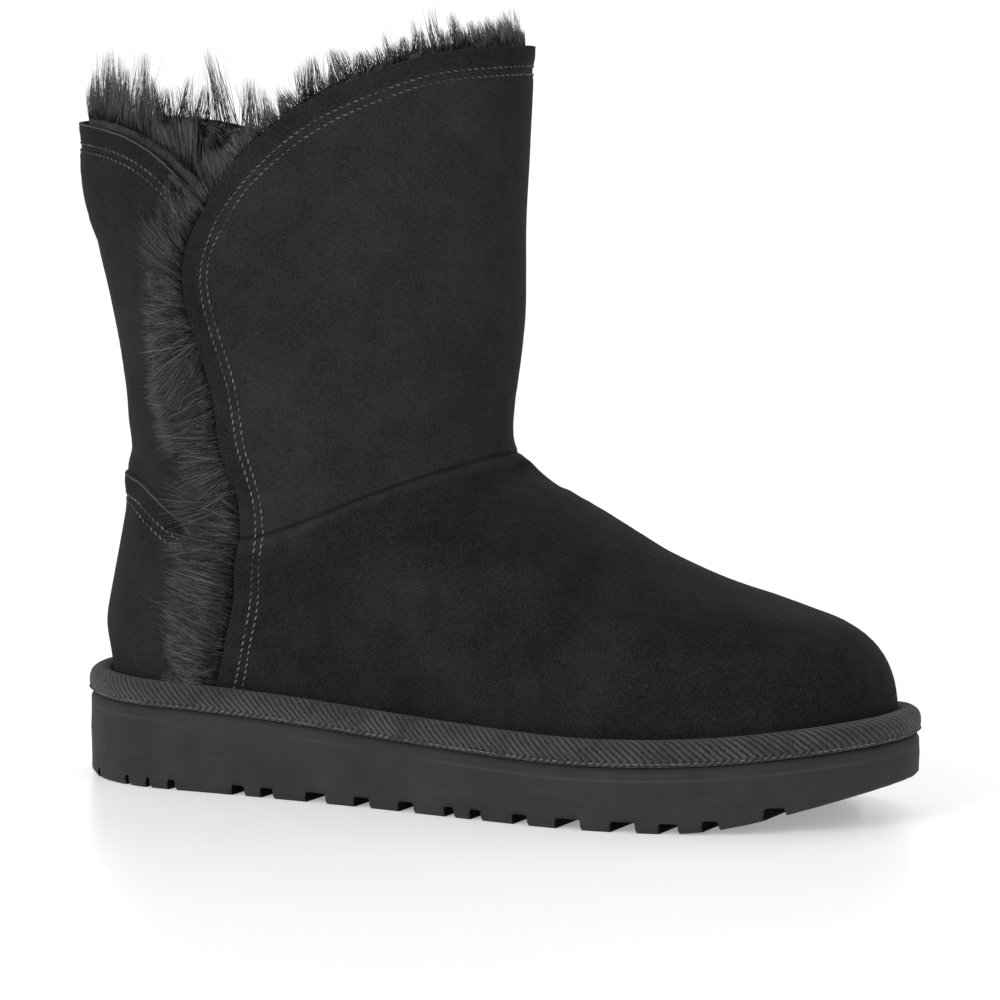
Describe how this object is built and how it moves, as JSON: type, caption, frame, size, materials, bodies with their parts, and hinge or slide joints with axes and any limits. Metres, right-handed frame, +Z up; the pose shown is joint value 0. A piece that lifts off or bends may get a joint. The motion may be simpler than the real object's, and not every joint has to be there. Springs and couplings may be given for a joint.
{
  "type": "sheepskin ankle boot",
  "caption": "Pull-on suede ankle boot with a wool lining, a lapped front flap with a notched collar, a taped welt and a lugged foam sole.",
  "frame": {"origin": "on the floor, under the middle of the boot's bounding box", "axes": "+X to the toe, +Y to the inner (big toe) side, +Z up"},
  "size_m": [0.2698, 0.1014, 0.2307],
  "materials": {
    "suede": "matt brushed suede, black, with a soft nap",
    "wool": "dyed sheep's wool in loose locks, black with a soft shine",
    "twill_tape": "twill-woven binding tape, charcoal",
    "sole_foam": "matt moulded foam rubber, charcoal black"
  },
  "bodies": {
    "root": {"upper": "suede", "heel_counter": "suede", "wool_trim_outer": "wool", "wool_trim_inner": "wool", "welt_binding": "twill_tape", "outsole": "sole_foam", "insole": "wool"}
  },
  "joints": []
}
